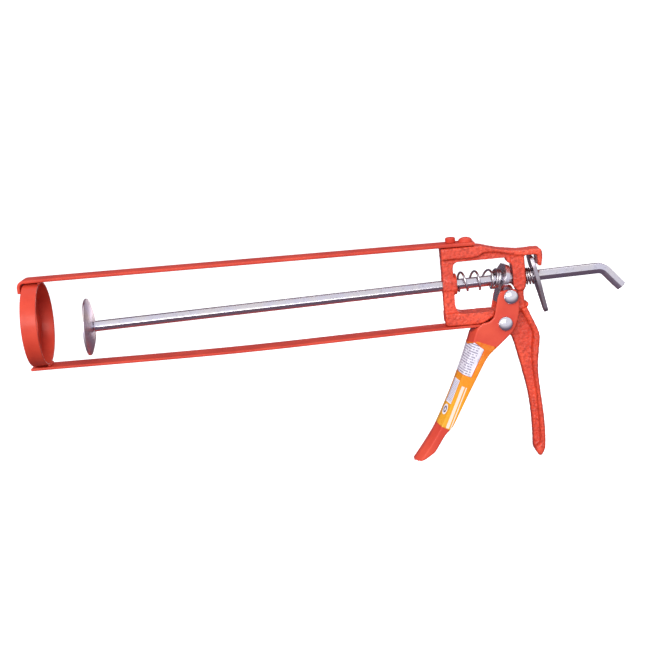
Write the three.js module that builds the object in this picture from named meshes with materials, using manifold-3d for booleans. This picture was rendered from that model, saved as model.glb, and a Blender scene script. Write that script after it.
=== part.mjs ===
// A skeleton-frame caulking gun: two flat straps carry a front ring, a cast body holds the trigger
// and the handle, and a hexagonal rod pushes a dished disc towards the ring.
// Millimetres, +X towards the handle, +Y to the gun's right-hand side as the nozzle is ahead,
// +Z up. Pieces are built round the cartridge axis with X measured from the ring's rear edge, and
// the finished group is then set so that its origin is the middle of the base of its bounding box.
import * as THREE from "three";
import { mergeVertices } from "three/addons/utils/BufferGeometryUtils.js";
import Module from "manifold-3d";

const wasm = await Module();
wasm.setup();

// ---------- driving dimensions ----------

const GAP = 0.3; // play kept between pieces that touch

const RING_R = 26.8; // outside radius of the band, for a 50 mm cartridge
const RING_WALL = 1.4;
const RING_DEPTH = 10;
const RING_LIP_R = 16.5; // opening in the front lip
const RING_DROP = 0.35; // the ring's centre lies this far under the axis

const STRAP_WIDTH = 16;
const STRAP_THICK = 2;
const STRAP_TOP_Z = 26.9; // underside of the top strap at the ring
const STRAP_LOW_Z = -27.45; // upper side of the bottom strap at the ring
const STRAP_LOW_END_Z = -25.2; // and under the casting
const STRAP_LOW_BOW_Z = -27.95; // it bows outwards a little between them
const STRAP_LOW_THICK = 1.7;
const STRAP_TAPER = 0.0062; // the top strap falls by this much per millimetre towards the casting
const STRAP_END_X = 274.5;
const CURL_R = 4.4; // outside radius where the top strap turns down over the ring
const CURL_FRONT_X = -13.4;
const CURL_TIP_Z = 20.7;

const BODY_X = 252.8; // front face of the casting
const BODY_TOP_Z = 24.8;
const BODY_LOW_Z = -24.9;
const WEB_HALF = 5.5; // half thicknesses of the casting across Y
const PAD_HALF = 8;
const HANDLE_WEB_HALF = 4;
const HANDLE_RIM_HALF = 9;

const ROD_FLATS = 6.35; // across the flats of the hexagon
const ROD_DROOP = 0.0247; // slope of the rod, which rests nose-down in its clearance holes
const ROD_HOLE_R = 4.7;
const ROD_HOLE_Z = 0.95;
const BOSS_R = 6.7;
const FRONT_BOSS_END_X = 261.9;
const REAR_BOSS_X = 296.9;
const REAR_BOSS_END_X = 305.1;

const DISC_R = 18.1;
const DISC_X = 26; // plane of the disc's rim
const DISC_Z = -5.3;
const DISC_TILT = 2; // degrees, the disc hangs loose on its stud
const DISC_THICK = 1.2;
const DISC_DISH = 3;

const PIVOT = [289.9, -25.6]; // trigger pivot, X and Z
const DRIVE_PIN = [294.3, -8.9]; // upper rivet, which pushes the drive plate
const TRIGGER_HALF = 10.3; // half of the channel's outside width
const TRIGGER_SHEET = 1.8;
const TRIGGER_FALL = 2.6; // its front is crowned: this far from the middle back to each fold,
const TRIGGER_SLANT = 7; // over this much of the width
const RIVET_HEAD_R = 4.7;
const RIVET_HEAD_H = 2.6;
const RIVET_SHANK_R = 2.6;
const ROLLER_R = 3.8;

const DRIVE_PLATE_X = 290.7; // its centre on the rod's axis
const DRIVE_PLATE_THICK = 3;
const DRIVE_PLATE_LEAN = 16; // degrees, top towards the handle
const DRIVE_PLATE_YAW = 9; // degrees, the plate hangs slightly askew on the rod

const RELEASE_X = 312.1; // the plate rocks in the casting's hook
const RELEASE_PLATE_THICK = 2.5;
const RELEASE_PLATE_LEAN = -13; // degrees, top towards the ring

const DRIVE_COIL_R = 5.9; // centreline radii and wire radii of the two springs
const DRIVE_WIRE_R = 0.7;
const RELEASE_COIL_R = 5;
const RELEASE_WIRE_R = 0.5;

// ---------- finishes ----------

const finish = (color, roughness, metalness) =>
  new THREE.MeshStandardMaterial({ color, roughness, metalness });
const redPaint = finish(0xd8402f, 0.38, 0.1);
const castPaint = finish(0xe4523a, 0.55, 0.1);
const zinc = finish(0xc9c5cc, 0.3, 1);
const springSteel = finish(0x8b8790, 0.32, 1);
const orangeFilm = finish(0xf28a1c, 0.4, 0);
const whiteFilm = finish(0xe9e8ef, 0.45, 0);

// ---------- solids ----------

// A closed three.js geometry as a manifold solid, turned right side out.
function solid(geometry) {
  const bare = geometry.index ? geometry.toNonIndexed() : geometry.clone();
  bare.deleteAttribute("normal");
  bare.deleteAttribute("uv");
  const merged = mergeVertices(bare, 1e-4);
  const triVerts = new Uint32Array(merged.index.array);
  const vertProperties = merged.attributes.position.array;
  const made = new wasm.Manifold(new wasm.Mesh({ numProp: 3, vertProperties, triVerts }));
  if (made.volume() > 0) return made;
  triVerts.reverse();
  return new wasm.Manifold(new wasm.Mesh({ numProp: 3, vertProperties, triVerts }));
}

const join = (first, ...rest) => rest.reduce((sum, next) => sum.add(next), first);
const cut = (first, ...rest) => rest.reduce((left, next) => left.subtract(next), first);

function geometryOf(manifold) {
  const { vertProperties, triVerts } = manifold.getMesh();
  const flat = new THREE.BufferGeometry();
  flat.setAttribute("position", new THREE.BufferAttribute(vertProperties, 3));
  flat.setIndex(new THREE.BufferAttribute(triVerts, 1));
  const faceted = flat.toNonIndexed();
  faceted.computeVertexNormals();
  return faceted;
}

// A closed outline through corners [x, z, radius]; a radius swings the line round that corner.
function outline(corners) {
  const shape = new THREE.Shape();
  const at = (i) => new THREE.Vector2(...corners.at(i % corners.length).slice(0, 2));
  corners.forEach(([x, z, radius = 0], i) => {
    const corner = new THREE.Vector2(x, z);
    const before = at(i - 1 + corners.length);
    const after = at(i + 1);
    const reachIn = Math.min(radius, corner.distanceTo(before) * 0.45);
    const reachOut = Math.min(radius, corner.distanceTo(after) * 0.45);
    const start = corner.clone().add(before.sub(corner).setLength(reachIn));
    const end = corner.clone().add(after.sub(corner).setLength(reachOut));
    if (i === 0) shape.moveTo(start.x, start.y);
    else shape.lineTo(start.x, start.y);
    if (radius > 0) shape.quadraticCurveTo(x, z, end.x, end.y);
  });
  shape.closePath();
  return shape;
}

// An XZ outline given a thickness across Y, centred on y, with its rims bevelled.
function slab(shape, half, { y = 0, bevel = 0, bevelAcross = bevel, steps = 1, round = 4 } = {}) {
  const depth = 2 * (half - bevelAcross);
  const made = new THREE.ExtrudeGeometry(shape, {
    depth,
    curveSegments: round,
    bevelEnabled: bevel > 0,
    bevelSize: bevel,
    bevelOffset: -bevel,
    bevelThickness: bevelAcross,
    bevelSegments: steps,
  });
  made.translate(0, 0, -depth / 2);
  made.rotateX(Math.PI / 2);
  made.translate(0, y, 0);
  return solid(made);
}

// A profile of [radius, x] points turned about the X axis through (y, z).
function turned(profile, { x = 0, y = 0, z = 0, segments = 40 } = {}) {
  const points = profile.map(([r, along]) => new THREE.Vector2(r, along));
  const made = new THREE.LatheGeometry(points, segments);
  made.rotateZ(-Math.PI / 2);
  made.translate(x, y, z);
  return solid(made);
}

// The same, turned about a vertical axis or one across the gun.
function turnedUp(profile, x, segments = 28) {
  const points = profile.map(([r, along]) => new THREE.Vector2(r, along));
  return solid(new THREE.LatheGeometry(points, segments).translate(x, 0, 0).rotateX(Math.PI / 2));
}

function turnedAcross(profile, [x, z], segments = 28) {
  const points = profile.map(([r, along]) => new THREE.Vector2(r, along));
  return solid(new THREE.LatheGeometry(points, segments).translate(x, 0, z));
}

const bar = (r, from, to, place) => turned([[0, from], [r, from], [r, to], [0, to]], place);
const pinAcross = (r, half, place) =>
  turnedAcross([[0, -half], [r, -half], [r, half], [0, half]], place);

function block([x0, y0, z0], [x1, y1, z1]) {
  const made = new THREE.BoxGeometry(x1 - x0, y1 - y0, z1 - z0);
  return solid(made.translate((x0 + x1) / 2, (y0 + y1) / 2, (z0 + z1) / 2));
}

const gun = new THREE.Group();

function piece(name, manifold, material, parent = gun) {
  const mesh = new THREE.Mesh(geometryOf(manifold), material);
  mesh.name = name;
  parent.add(mesh);
  return mesh;
}

// ---------- straps and ring ----------

const strapTopZ = (x) => STRAP_TOP_Z - STRAP_TAPER * x;

// Fasteners that clamp the straps to the casting: X, head radius and head height.
const STRAP_RIVET_SHANK_R = 2;
const STRAP_RIVET_DEPTH = 5;
const TOP_STUD = { x: 259.8, headR: 3.2, headH: 3.4 };
const TOP_DOME = { x: 269.2, headR: 4.4, headH: 2.9 };
const LOW_RIVETS = [259.8, 269.2];
const SUNK_HEAD_R = 3.6;

function rivetHole(x) {
  const reach = RING_R + 5;
  const bore = STRAP_RIVET_SHANK_R + GAP;
  return turnedUp([[0, -reach], [bore, -reach], [bore, reach], [0, reach]], x, 20);
}

// A countersunk rivet under the bottom strap; grow widens it into the hole that takes it.
function sunkRivet(x, grow = 0) {
  const face = STRAP_LOW_END_Z - STRAP_LOW_THICK;
  const shank = STRAP_RIVET_SHANK_R + grow;
  const head = SUNK_HEAD_R + grow;
  const low = face - grow;
  const rim = face + 0.4 + grow;
  const top = face + STRAP_LOW_THICK + STRAP_RIVET_DEPTH + grow;
  return turnedUp([[0, low], [head, low], [head, rim], [shank, rim + 1.2], [shank, top], [0, top]], x, 20);
}

function topRivet({ x, headR, headH }, domed) {
  const seat = strapTopZ(x) + STRAP_THICK + GAP;
  const foot = BODY_TOP_Z - STRAP_RIVET_DEPTH;
  const rim = domed ? headH * 0.45 : headH - 0.5;
  const crown = domed
    ? [[headR * 0.86, seat + headH * 0.76], [headR * 0.5, seat + headH * 0.95]]
    : [[headR - 0.5, seat + headH]];
  const shank = STRAP_RIVET_SHANK_R;
  const profile = [[0, foot], [shank, foot], [shank, seat], [headR, seat], [headR, seat + rim]];
  return turnedUp([...profile, ...crown, [0, seat + headH]], x);
}

function topStrap() {
  const inner = CURL_R - STRAP_THICK;
  const frontTop = STRAP_TOP_Z + STRAP_THICK;
  const centre = [CURL_FRONT_X + CURL_R, frontTop - CURL_R];
  const shape = new THREE.Shape();
  shape.moveTo(STRAP_END_X, strapTopZ(STRAP_END_X));
  shape.lineTo(STRAP_END_X, strapTopZ(STRAP_END_X) + STRAP_THICK);
  shape.lineTo(centre[0], frontTop);
  shape.absarc(...centre, CURL_R, Math.PI / 2, Math.PI);
  shape.lineTo(CURL_FRONT_X, CURL_TIP_Z);
  shape.lineTo(CURL_FRONT_X + STRAP_THICK, CURL_TIP_Z);
  shape.absarc(...centre, inner, Math.PI, Math.PI / 2, true);
  shape.closePath();
  const strip = slab(shape, STRAP_WIDTH / 2, { bevel: 0.3, round: 8 });
  return cut(strip, rivetHole(TOP_STUD.x), rivetHole(TOP_DOME.x));
}

function bottomStrap() {
  const front = -RING_DEPTH - 1.4;
  const line = [
    [front, STRAP_LOW_Z],
    [4, STRAP_LOW_Z, 30],
    [70, STRAP_LOW_BOW_Z, 40],
    [130, STRAP_LOW_BOW_Z, 40],
    [245, STRAP_LOW_END_Z, 30],
    [STRAP_END_X, STRAP_LOW_END_Z],
  ];
  const under = line.toReversed().map(([x, z, swing]) => [x, z - STRAP_LOW_THICK, swing]);
  const strip = slab(outline([...line, ...under]), STRAP_WIDTH / 2, { bevel: 0.3, round: 6 });
  return cut(strip, ...LOW_RIVETS.map((x) => sunkRivet(x, GAP)));
}

function frontRing() {
  const inside = RING_R - RING_WALL;
  const profile = [
    [RING_R, 0],
    [RING_R, -RING_DEPTH + 0.6],
    [RING_R - 0.6, -RING_DEPTH],
    [RING_LIP_R, -RING_DEPTH],
    [RING_LIP_R, -RING_DEPTH + RING_WALL],
    [inside, -RING_DEPTH + RING_WALL],
    [inside, 0],
    [RING_R, 0],
  ];
  return turned(profile, { z: -RING_DROP, segments: 72 });
}

// ---------- casting ----------

function bodyCasting() {
  const headWeb = slab(
    outline([
      [BODY_X, BODY_LOW_Z, 2.5],
      [276, BODY_LOW_Z, 2],
      [283.5, -20, 2],
      [304, -20],
      [303.3, -8, 3],
      [304.9, 1, 4],
      [304.9, 17.5],
      [289, 20.8, 6],
      [277, BODY_TOP_Z, 3],
      [BODY_X, BODY_TOP_Z],
    ]),
    WEB_HALF,
    { bevel: 0.8 },
  );
  // The strap pad runs back into a thin rim, the rear arm and the hook for the release plate.
  const topRim = slab(
    outline([
      [BODY_X, 17.5],
      [275, 17.5, 3],
      [279.5, 20.4, 3],
      [289, 19.6, 2],
      [297.5, 17, 2],
      [303, 16.1, 2],
      [312.9, 16.1, 1],
      [312.9, 9.8],
      [313.7, 8.6],
      [315.1, 8.9],
      [316.2, 14, 3],
      [315.9, 19.5, 1.5],
      [311.5, 19.7, 2],
      [302, 19.3, 5],
      [289, 21.3, 6],
      [277, BODY_TOP_Z, 3],
      [BODY_X, BODY_TOP_Z],
    ]),
    PAD_HALF,
    { bevel: 0.6 },
  );
  const lowPad = slab(
    outline([
      [BODY_X, BODY_LOW_Z, 2.5],
      [276, BODY_LOW_Z, 2],
      [284, -20.4, 2],
      [284, -16.6],
      [BODY_X, -16.6],
    ]),
    PAD_HALF,
    { bevel: 0.6 },
  );
  const rearPad = slab(
    outline([
      [296, -6],
      [304, -6],
      [305.1, 1, 5],
      [304.9, 18],
      [296, 19],
    ]),
    PAD_HALF - 1,
    { bevel: 0.6 },
  );
  const handleWeb = slab(
    outline([
      [283, -20],
      [283, -30, 3],
      [294.4, -34.5, 3],
      [299, -53, 20],
      [303.2, -75, 20],
      [304.4, -92, 8],
      [304.1, -111, 3],
      [307.4, -115.3, 3],
      [310.6, -110, 3],
      [311, -92, 8],
      [308.9, -66, 12],
      [308.6, -54, 8],
      [311, -35, 4],
      [303.6, -16, 2],
    ]),
    HANDLE_WEB_HALF,
    { bevel: 0.8 },
  );
  // The palm rim stands out on both sides along the back of the handle and closes round its tip.
  const palmRim = slab(
    outline([
      [300.6, -17.5],
      [307.9, -33.5, 4],
      [305.7, -46, 8],
      [306, -56, 8],
      [307.2, -70, 10],
      [308.2, -94, 8],
      [307.9, -106.5, 1.5],
      [304.9, -108.2],
      [304.7, -112, 2.5],
      [307.4, -115.4, 3],
      [311, -110, 3],
      [311.4, -91, 8],
      [309.3, -66, 12],
      [308.9, -54, 8],
      [311.9, -35, 4],
      [304.4, -16.4],
    ]),
    HANDLE_RIM_HALF,
    { bevel: 1 },
  );
  const rearLug = pinAcross(2, 4, [304.3, -15.6]);
  const along = { z: ROD_HOLE_Z };
  const bossHalf = WEB_HALF + 0.6; // the front boss is flattened on both sides
  const sides = block([BODY_X, -bossHalf, -BOSS_R], [FRONT_BOSS_END_X, bossHalf, 2 * BOSS_R]);
  const frontBoss = bar(BOSS_R, BODY_X, FRONT_BOSS_END_X, along).intersect(sides);
  const rearBoss = bar(BOSS_R, REAR_BOSS_X, REAR_BOSS_END_X, along);
  const pivotBoss = pinAcross(7.6, PAD_HALF, PIVOT);

  // The window is open on both sides; its lower rear end is the slot in which the drive pin moves.
  const window = slab(
    outline([
      [259.8, -17.4, 6],
      [259.8, 15.4, 4],
      [293.8, 15.6, 2],
      [293.9, 12.6, 0.8],
      [297, 11.2, 1],
      [297, -3.4, 1],
      [299.2, -4.8, 3],
      [299.2, -13.8, 3],
      [284, -17.4, 2],
    ]),
    PAD_HALF + 2,
  );
  const rear = join(rearPad, rearBoss, rearLug, pivotBoss);
  const shell = join(headWeb, topRim, lowPad, handleWeb, palmRim, rear);
  const bored = bar(ROD_HOLE_R, BODY_X - 1, REAR_BOSS_END_X + 1, along);
  const pivotHole = pinAcross(RIVET_SHANK_R + GAP, PAD_HALF + 4, PIVOT);
  const blind = [TOP_STUD.x, TOP_DOME.x].map((x) =>
    rivetHole(x).intersect(block([x - 4, -4, BODY_TOP_Z - STRAP_RIVET_DEPTH - GAP], [x + 4, 4, 30])),
  );
  const low = LOW_RIVETS.map((x) => sunkRivet(x, GAP));
  return cut(join(cut(shell, window), frontBoss), bored, pivotHole, ...blind, ...low);
}

piece("front_ring", frontRing(), redPaint);
piece("top_strap", topStrap(), redPaint);
piece("bottom_strap", bottomStrap(), redPaint);
piece("body_casting", bodyCasting(), castPaint);
piece("top_strap_stud", topRivet(TOP_STUD, false), redPaint);
piece("top_strap_rivet", topRivet(TOP_DOME, true), redPaint);
piece("bottom_strap_rivet_front", sunkRivet(LOW_RIVETS[0]), redPaint);
piece("bottom_strap_rivet_rear", sunkRivet(LOW_RIVETS[1]), redPaint);

// ---------- push rod and plunger ----------

const rodLine = new THREE.Group();
rodLine.position.set(DISC_X, 0, DISC_Z);
rodLine.rotation.y = -Math.atan(ROD_DROOP);
gun.add(rodLine);

// Along the rod, from the plane of the disc's rim.
const STUD_R = 2;
const DISC_APEX = DISC_DISH + DISC_THICK;
const WASHER_R = 5.5;
const WASHER_THICK = 1;
const STUD_HEAD_R = 3.4;
const BEND_START = 325.5;
const BEND_R = 7;
const BEND_ANGLE = THREE.MathUtils.degToRad(50);
const HOOK_LENGTH = 14;

// A bent bar of hexagonal section: a slab of the bar's side outline whose bevels reach almost to its
// middle, trimmed square at both ends.
function pushRod() {
  const half = ROD_FLATS / 2;
  const reach = ROD_FLATS / Math.sqrt(3);
  const turnAt = [BEND_START, -BEND_R];
  const ribbon = (from, tail) => {
    const shape = new THREE.Shape();
    const end = [
      turnAt[0] + BEND_R * Math.sin(BEND_ANGLE) + tail * Math.cos(BEND_ANGLE),
      turnAt[1] + BEND_R * Math.cos(BEND_ANGLE) - tail * Math.sin(BEND_ANGLE),
    ];
    const side = [half * Math.sin(BEND_ANGLE), half * Math.cos(BEND_ANGLE)];
    const stop = Math.PI / 2 - BEND_ANGLE;
    shape.moveTo(from, -half);
    shape.lineTo(from, half);
    shape.absarc(...turnAt, BEND_R + half, Math.PI / 2, stop, true);
    shape.lineTo(end[0] + side[0], end[1] + side[1]);
    shape.lineTo(end[0] - side[0], end[1] - side[1]);
    shape.absarc(...turnAt, BEND_R - half, stop, Math.PI / 2);
    shape.closePath();
    return shape;
  };
  const shoulder = DISC_APEX + GAP;
  const spare = 6;
  const hexagonal = slab(ribbon(shoulder - spare, HOOK_LENGTH + spare), reach, {
    bevel: half - 0.1,
    bevelAcross: reach / 2,
    round: 10,
  });
  const trimmed = hexagonal.intersect(slab(ribbon(shoulder, HOOK_LENGTH), reach + 1, { round: 10 }));
  const washerFront = DISC_DISH - GAP - WASHER_THICK;
  const headBack = washerFront - GAP;
  const stud = turned(
    [
      [0, headBack - 1.7],
      [STUD_HEAD_R * 0.7, headBack - 1.4],
      [STUD_HEAD_R, headBack - 0.6],
      [STUD_HEAD_R, headBack],
      [STUD_R, headBack],
      [STUD_R, shoulder + 2],
      [0, shoulder + 2],
    ],
    { segments: 24 },
  );
  return join(trimmed, stud);
}

// The disc's rim leads and its centre is set back, so that it is hollow towards the cartridge.
function plungerDisc() {
  const bore = STUD_R + GAP;
  const flat = 6;
  const dish = (r) => DISC_DISH * Math.cos((Math.PI / 2) * Math.max(0, (r - flat) / (DISC_R - flat)));
  const radii = [bore, flat, 8.5, 11, 13.5, 16, DISC_R];
  const front = radii.map((r) => [r, dish(r)]);
  const back = radii.toReversed().map((r) => [r, dish(r) + DISC_THICK]);
  return turned([...front, ...back, front[0]], { segments: 56 });
}

const discPlace = new THREE.Group();
discPlace.rotation.y = THREE.MathUtils.degToRad(DISC_TILT);
rodLine.add(discPlace);

function washer(outer, bore, thick, place) {
  const profile = [[bore, 0], [outer, 0], [outer, thick], [bore, thick], [bore, 0]];
  return turned(profile, { segments: 32, ...place });
}

piece("push_rod", pushRod(), zinc, rodLine);
piece("plunger_disc", plungerDisc(), zinc, discPlace);
const washerAt = { x: DISC_DISH - GAP - WASHER_THICK };
piece("plunger_washer", washer(WASHER_R, STUD_R + GAP, WASHER_THICK, washerAt), zinc, rodLine);

// ---------- gripping plates ----------

// A plate in its own plane: shape X runs across the gun and shape Y up; thickness along X.
function plate(shape, thick, holeR) {
  const made = new THREE.ExtrudeGeometry(shape, { depth: thick, bevelEnabled: false, curveSegments: 5 });
  made.translate(0, 0, -thick / 2).rotateX(Math.PI / 2).rotateZ(Math.PI / 2);
  return cut(solid(made), bar(holeR, -thick, thick));
}

const rodZ = (x) => DISC_Z + ROD_DROOP * (x - DISC_X);

function leaningGroup(x, lean, yaw = 0) {
  const { degToRad } = THREE.MathUtils;
  const group = new THREE.Group();
  group.position.set(x, 0, rodZ(x));
  group.rotation.set(0, degToRad(lean), degToRad(yaw), "ZYX");
  gun.add(group);
  return group;
}

const PLATE_HOLE_R = 4.7;
const drivePlace = leaningGroup(DRIVE_PLATE_X, DRIVE_PLATE_LEAN, DRIVE_PLATE_YAW);
const drivePlateOutline = outline([
  [-5, 9.7, 1],
  [-11.5, 4.2, 2],
  [-11.5, -1.5, 3],
  [-5, -6.8, 3],
  [-5, -14.6, 2],
  [5, -14.6, 2],
  [5, -6.8, 3],
  [11.5, -1.5, 3],
  [11.5, 4.2, 2],
  [5, 9.7, 1],
]);
piece("drive_plate", plate(drivePlateOutline, DRIVE_PLATE_THICK, PLATE_HOLE_R), zinc, drivePlace);

const releasePlace = leaningGroup(RELEASE_X, RELEASE_PLATE_LEAN);
const releaseOutline = outline([
  [-7, 13.3, 2],
  [-9, 8, 2],
  [-9, -3, 4],
  [-3.4, -24.3, 3],
  [3.4, -24.3, 3],
  [9, -3, 4],
  [9, 8, 2],
  [7, 13.3, 2],
]);
piece("release_plate", plate(releaseOutline, RELEASE_PLATE_THICK, PLATE_HOLE_R), zinc, releasePlace);

// ---------- springs ----------

// A compression spring round the rod. Its first and last turns are closed, its far end leans and
// swings with the plate that it bears on, and both die away towards the near end.
class SpringLine extends THREE.Curve {
  constructor({ from, to, z, radius, wire, pitch, phase, closedFirst, closedLast, lean, swing = 0 }) {
    super();
    Object.assign(this, { from, to, z, radius, phase, closedFirst, lean, swing });
    this.shut = wire * 2.1;
    const openLength = to - from - (closedFirst + closedLast) * this.shut;
    this.open = Math.round((openLength / pitch) * 12) / 12;
    this.pitch = openLength / this.open;
    this.turns = closedFirst + this.open + closedLast;
    this.arcLengthDivisions = 600;
  }

  getPoint(t, target = new THREE.Vector3()) {
    const turn = t * this.turns;
    const inOpen = Math.min(Math.max(turn - this.closedFirst, 0), this.open);
    const along = inOpen * this.pitch + (turn - inOpen) * this.shut;
    const angle = 2 * Math.PI * (this.phase + turn);
    const up = this.radius * Math.cos(angle);
    const across = -this.radius * Math.sin(angle);
    const tilt = (this.lean * up - this.swing * across) * (along / (this.to - this.from));
    return target.set(this.from + along + tilt, across, this.z + up);
  }
}

function spring(line, wire, sides = 6, stepsPerTurn = 18) {
  const section = new THREE.Shape();
  for (let i = 0; i < sides; i += 1) {
    const angle = (2 * Math.PI * i) / sides;
    const point = [wire * Math.cos(angle), wire * Math.sin(angle)];
    if (i === 0) section.moveTo(...point);
    else section.lineTo(...point);
  }
  section.closePath();
  const steps = Math.round(line.turns * stepsPerTurn);
  return solid(new THREE.ExtrudeGeometry(section, { steps, extrudePath: line }));
}

const slope = (degrees) => Math.tan(THREE.MathUtils.degToRad(degrees));
const driveSpring = new SpringLine({
  from: FRONT_BOSS_END_X + GAP + DRIVE_WIRE_R,
  to: DRIVE_PLATE_X - DRIVE_PLATE_THICK / 2 - GAP - DRIVE_WIRE_R - 0.2,
  z: 2,
  radius: DRIVE_COIL_R,
  wire: DRIVE_WIRE_R,
  pitch: 8.3,
  phase: -0.67,
  closedFirst: 0.5,
  closedLast: 2,
  lean: slope(DRIVE_PLATE_LEAN),
  swing: slope(DRIVE_PLATE_YAW),
});
piece("drive_spring", spring(driveSpring, DRIVE_WIRE_R), springSteel);

const releaseSpring = new SpringLine({
  from: REAR_BOSS_END_X + GAP + RELEASE_WIRE_R,
  to: RELEASE_X - RELEASE_PLATE_THICK / 2 - GAP - RELEASE_WIRE_R - 0.1,
  z: 1.7,
  radius: RELEASE_COIL_R,
  wire: RELEASE_WIRE_R,
  pitch: 1.9,
  phase: 0,
  closedFirst: 0.8,
  closedLast: 1,
  lean: slope(RELEASE_PLATE_LEAN),
});
piece("release_spring", spring(releaseSpring, RELEASE_WIRE_R), springSteel);

// ---------- trigger ----------

// The fold line of the pressed channel, carried on past both ends, and closed far behind them.
const channelOutline = outline([
  [281, -3],
  [268.7, -28.6, 4],
  [263.6, -43.2, 8],
  [254.1, -65.7, 10],
  [242.2, -89.2, 10],
  [233.6, -101.5, 8],
  [221, -117.6],
  [260, -150],
  [330, -100],
  [330, 0],
]);

// The edge of the sheet seen from the side: ears on top, grip below, open towards the handle.
const triggerOutline = outline([
  [275.3, -24.4, 1.5],
  [280.4, -23.6, 2],
  [283.4, -20.5, 2],
  [287.2, -3.6, 6],
  [298.7, -3, 6],
  [299.6, -18, 6],
  [295.3, -30.4, 4],
  [285.5, -39, 2],
  [277.4, -45.6, 5],
  [263.1, -70.2, 6],
  [252, -90.2, 3],
  [247.2, -94.2, 3],
  [239.6, -105.6, 2],
  [232.4, -110.2, 2],
  [226, -111.3, 0.5],
  [215, -112.5],
  [258, -30],
  [268.5, -30.2],
]);

// The channel's outer surface moved in by a depth, or out where the depth is negative.
function channel(depth) {
  const slant = Math.atan(TRIGGER_FALL / TRIGGER_SLANT);
  const across = TRIGGER_SLANT - depth * (1 - Math.tan(slant / 2));
  const back = across * Math.tan(slant);
  const middle = 2 * (TRIGGER_HALF - depth - across);
  const made = new THREE.ExtrudeGeometry(channelOutline, {
    depth: middle,
    curveSegments: 6,
    bevelSize: back,
    bevelOffset: -back - depth,
    bevelThickness: across,
    bevelSegments: 1,
  });
  return solid(made.translate(0, 0, -middle / 2).rotateX(Math.PI / 2));
}

function triggerShell() {
  const sheet = cut(channel(0), channel(TRIGGER_SHEET));
  const inside = TRIGGER_HALF - TRIGGER_SHEET;
  const underStrap = STRAP_LOW_END_Z - STRAP_LOW_THICK - GAP;
  const overStrap = block([260, -inside, underStrap], [305, inside, 0]);
  const holes = [PIVOT, DRIVE_PIN].map((at) => pinAcross(RIVET_SHANK_R + GAP, 14, at));
  return cut(sheet.intersect(slab(triggerOutline, 14)), overStrap, ...holes);
}

// A domed rivet through both ears of the trigger.
function rivet(at) {
  const seat = TRIGGER_HALF + GAP;
  const r = RIVET_HEAD_R;
  const h = RIVET_HEAD_H;
  const half = [
    [RIVET_SHANK_R, seat],
    [r, seat],
    [r, seat + h * 0.25],
    [r * 0.9, seat + h * 0.6],
    [r * 0.6, seat + h * 0.9],
    [0, seat + h],
  ];
  const mirrored = half.toReversed().map(([radius, y]) => [radius, -y]);
  return turnedAcross([...mirrored, ...half], at);
}

function driveRoller() {
  const bore = RIVET_SHANK_R + GAP;
  const half = TRIGGER_HALF - TRIGGER_SHEET - GAP;
  const profile = [[bore, -half], [ROLLER_R, -half], [ROLLER_R, half], [bore, half], [bore, -half]];
  return turnedAcross(profile, DRIVE_PIN);
}

piece("trigger", triggerShell(), redPaint);
piece("trigger_pivot_rivet", rivet(PIVOT), zinc);
piece("drive_rivet", rivet(DRIVE_PIN), zinc);
piece("drive_roller", driveRoller(), zinc);

// Films stuck round the grip: a printed wrap with an opening for a separate paper sticker.
const FILM = 0.25;
const wrapBand = outline([
  [262, -36.5],
  [271.5, -35.4],
  [290, -43],
  [256, -95.3],
  [236, -83.5],
]);
const stickerBand = (grow) =>
  outline([
    [262 - grow, -39 + grow],
    [269.4 + grow, -35.8 + grow],
    [275.2 + grow, -41.2],
    [265.8 + grow, -58.2 - grow],
    [254 - grow, -52.5 - grow],
  ]);

function film() {
  const skin = cut(channel(-GAP - FILM), channel(-GAP));
  return skin.intersect(slab(triggerOutline, 14));
}

const nearSide = block([200, -20, -130], [330, 5, 0]);
const wrap = film().intersect(slab(wrapBand, 14));
piece("grip_label", cut(wrap, slab(stickerBand(GAP), 14).intersect(nearSide)), orangeFilm);
piece("info_sticker", film().intersect(slab(stickerBand(0), 14)).intersect(nearSide), whiteFilm);

// ---------- frame ----------

const box = new THREE.Box3().setFromObject(gun);
gun.position.set(-(box.min.x + box.max.x) / 2, 0, -box.min.z);

export default gun;
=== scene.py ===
import math

import bmesh
import bpy
import numpy as np
from mathutils import Matrix, Vector, noise
from mathutils.bvhtree import BVHTree

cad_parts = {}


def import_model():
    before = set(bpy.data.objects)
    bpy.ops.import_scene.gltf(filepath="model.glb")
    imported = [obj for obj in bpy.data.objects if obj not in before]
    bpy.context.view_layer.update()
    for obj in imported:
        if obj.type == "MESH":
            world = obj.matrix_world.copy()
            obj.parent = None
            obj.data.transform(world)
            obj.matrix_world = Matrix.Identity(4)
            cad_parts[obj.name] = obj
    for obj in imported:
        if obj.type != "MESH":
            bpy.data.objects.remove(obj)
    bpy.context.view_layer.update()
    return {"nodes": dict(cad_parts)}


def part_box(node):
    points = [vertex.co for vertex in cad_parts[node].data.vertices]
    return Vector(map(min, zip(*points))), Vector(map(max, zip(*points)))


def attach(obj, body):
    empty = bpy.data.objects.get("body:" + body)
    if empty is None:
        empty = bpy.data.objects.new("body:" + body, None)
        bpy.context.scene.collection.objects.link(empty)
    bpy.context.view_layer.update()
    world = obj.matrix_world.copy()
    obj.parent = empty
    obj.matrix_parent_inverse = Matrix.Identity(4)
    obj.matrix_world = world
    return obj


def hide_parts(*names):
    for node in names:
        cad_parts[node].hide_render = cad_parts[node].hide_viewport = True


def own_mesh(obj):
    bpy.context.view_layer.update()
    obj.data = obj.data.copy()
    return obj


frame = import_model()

SCENE = bpy.context.scene

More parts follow.
